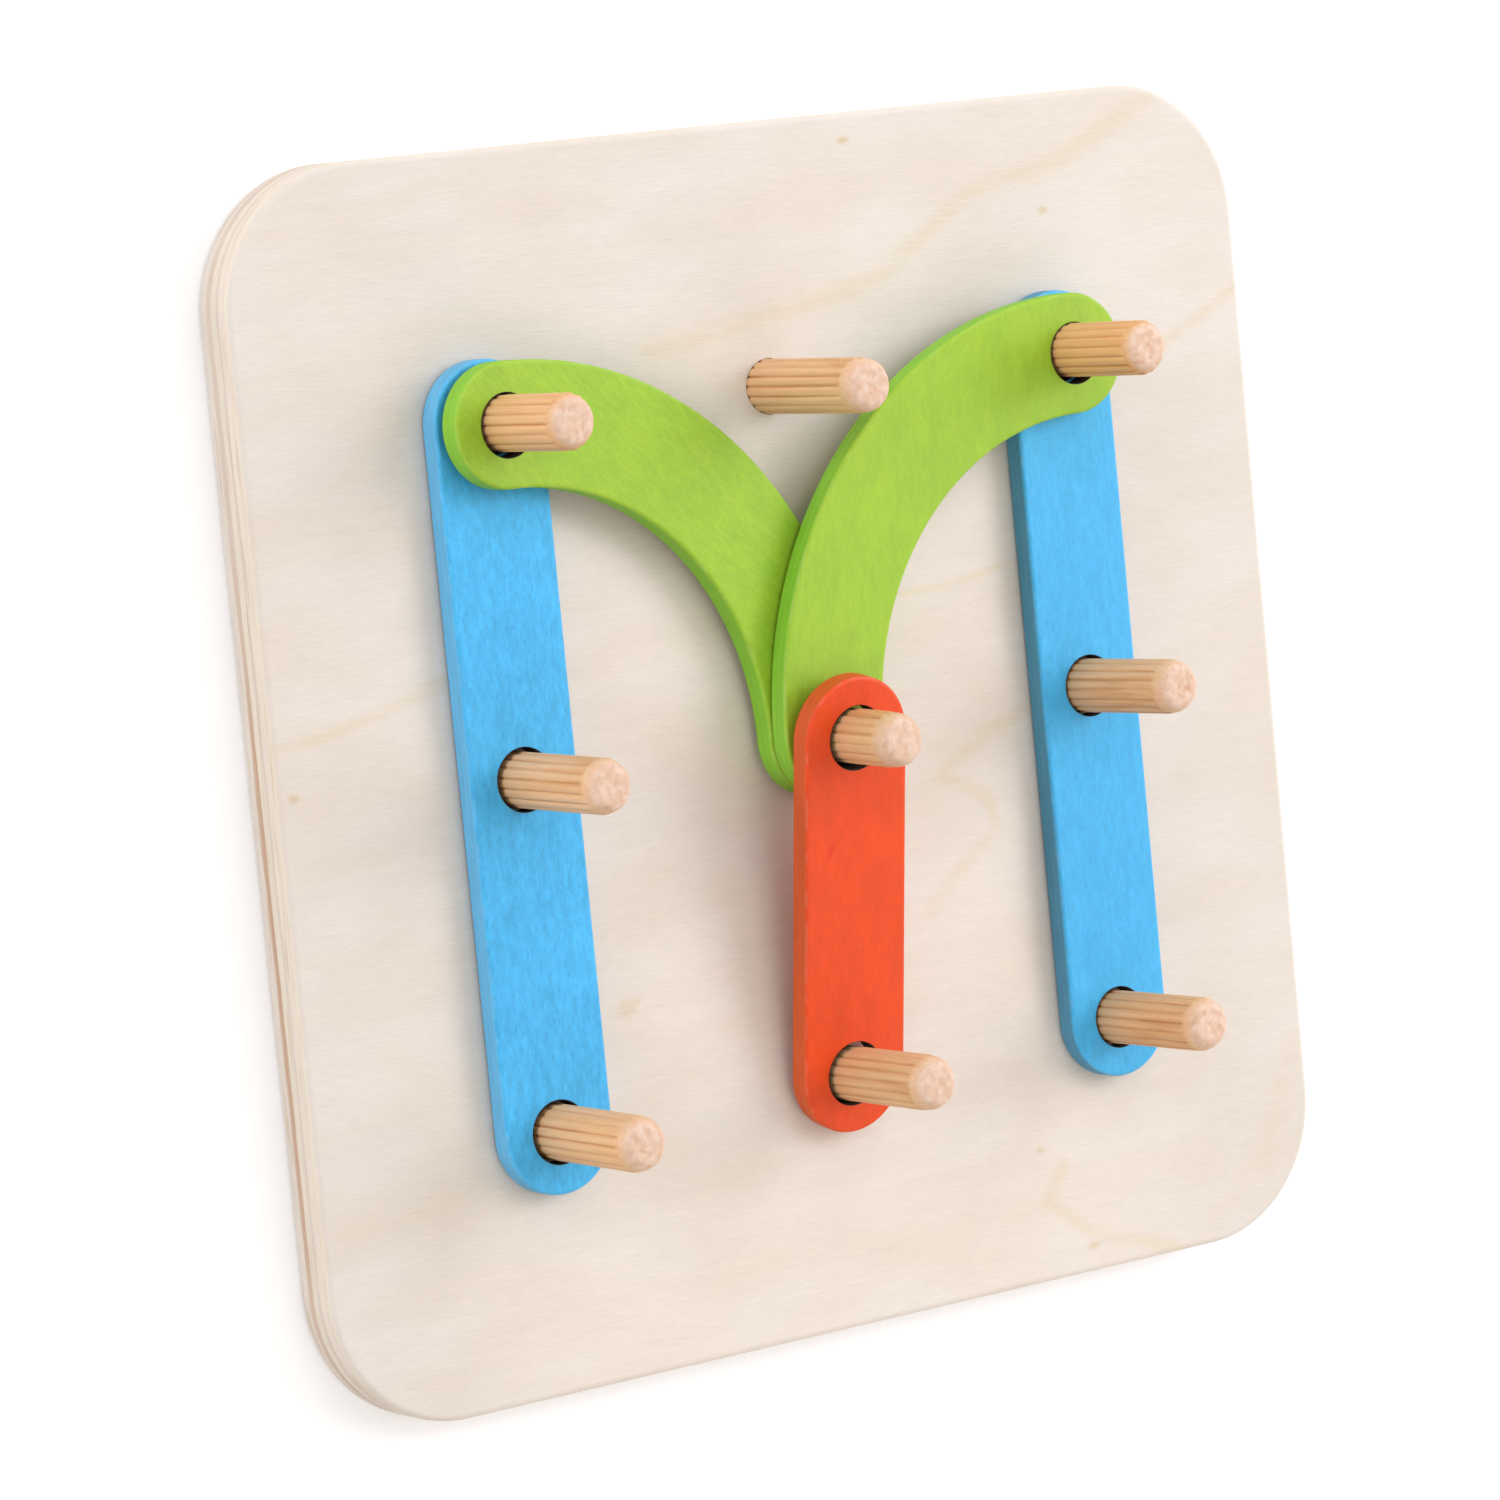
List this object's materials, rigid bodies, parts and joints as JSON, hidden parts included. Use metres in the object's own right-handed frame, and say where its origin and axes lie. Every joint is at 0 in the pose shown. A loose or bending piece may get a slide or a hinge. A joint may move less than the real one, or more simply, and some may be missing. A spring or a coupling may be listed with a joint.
{
  "type": "wooden peg board with letter links",
  "caption": "Square plywood board with a grid of fluted dowel pegs; coloured straight and curved wooden links with end holes drop over the pegs to spell letters.",
  "frame": {"origin": "centre of the board's back face, which lies on the table", "axes": "+Z out of the board's front face, along the pegs; +Y towards the top row of pegs, so the letter reads upright from -Y"},
  "size_m": [0.176, 0.176, 0.0332],
  "materials": {
    "plywood": "clear satin lacquer over pale birch-like veneer",
    "dowel": "bare sanded dowel",
    "blue_stain": "matte blue stain",
    "green_stain": "matte green stain",
    "red_stain": "matte orange-red stain"
  },
  "bodies": {
    "peg_board": {"board": "plywood", "peg_top_left": "dowel", "peg_top_middle": "dowel", "peg_top_right": "dowel", "peg_middle_left": "dowel", "peg_centre": "dowel", "peg_middle_right": "dowel", "peg_bottom_left": "dowel", "peg_bottom_middle": "dowel", "peg_bottom_right": "dowel"},
    "blue_left": {"blue_bar_left": "blue_stain"},
    "blue_right": {"blue_bar_right": "blue_stain"},
    "green_left": {"green_arc_left": "green_stain"},
    "green_right": {"green_arc_right": "green_stain"},
    "red": {"red_bar": "red_stain"}
  },
  "joints": [
    {"name": "blue_left_lift", "type": "slide", "parent": "peg_board", "child": "blue_left", "axis": [0, 0, 1], "range_m": [0, 0.03]},
    {"name": "blue_right_lift", "type": "slide", "parent": "peg_board", "child": "blue_right", "axis": [0, 0, 1], "range_m": [0, 0.03]},
    {"name": "green_left_lift", "type": "slide", "parent": "blue_left", "child": "green_left", "axis": [0, 0, 1], "range_m": [0, 0.03]},
    {"name": "green_right_lift", "type": "slide", "parent": "green_left", "child": "green_right", "axis": [0, 0, 1], "range_m": [0, 0.03]},
    {"name": "red_lift", "type": "slide", "parent": "green_right", "child": "red", "axis": [0, 0, 1], "range_m": [0, 0.03]}
  ],
  "couplings": [
    {"joint": "blue_right_lift", "follows": "blue_left_lift", "ratio": 1}
  ]
}
